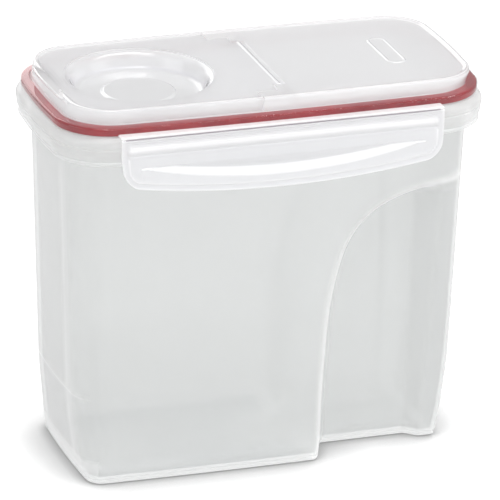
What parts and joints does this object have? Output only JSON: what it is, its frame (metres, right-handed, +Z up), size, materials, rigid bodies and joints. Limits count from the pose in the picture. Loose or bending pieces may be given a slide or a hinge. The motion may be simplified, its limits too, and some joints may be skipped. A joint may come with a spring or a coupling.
{
  "type": "food canister",
  "caption": "Tall translucent dry-food canister with grip recesses, a clear gasketed lid held by long side latches, and a flip-up pour cap with a round plug.",
  "frame": {"origin": "centre of the flat bottom", "axes": "+Z up, +X along the long side towards the grip end (the pour cap is at -X), -Y towards the front long side"},
  "size_m": [0.247, 0.1316, 0.2232],
  "materials": {
    "body_plastic": "translucent frosted polypropylene, satin",
    "clear_plastic": "clear, slightly milky polypropylene, glossy",
    "latch_plastic": "clear, slightly milky polypropylene, glossy",
    "gasket_rubber": "dark red soft thermoplastic rubber",
    "seal_silicone": "translucent white silicone"
  },
  "bodies": {
    "container": {"container_body": "body_plastic"},
    "lid": {"lid": "clear_plastic", "rim_gasket": "gasket_rubber"},
    "pour_cap": {"pour_cap": "clear_plastic", "pour_cap_seal": "seal_silicone"},
    "front_latch": {"front_latch": "latch_plastic"},
    "back_latch": {"back_latch": "latch_plastic"}
  },
  "joints": [
    {"name": "lid_lift", "type": "slide", "parent": "container", "child": "lid", "axis": [0, 0, 1], "range_m": [0, 0.045]},
    {"name": "pour_cap_hinge", "type": "hinge", "parent": "lid", "child": "pour_cap", "pos_m": [0.0052, 0, 0.2174], "axis": [0, 1, 0], "range_deg": [0, 110]},
    {"name": "front_latch_hinge", "type": "hinge", "parent": "lid", "child": "front_latch", "pos_m": [-0.0016, -0.0645, 0.2074], "axis": [-1, 0, 0], "range_deg": [0, 110]},
    {"name": "back_latch_hinge", "type": "hinge", "parent": "lid", "child": "back_latch", "pos_m": [-0.0016, 0.0645, 0.2074], "axis": [1, 0, 0], "range_deg": [0, 110]}
  ]
}
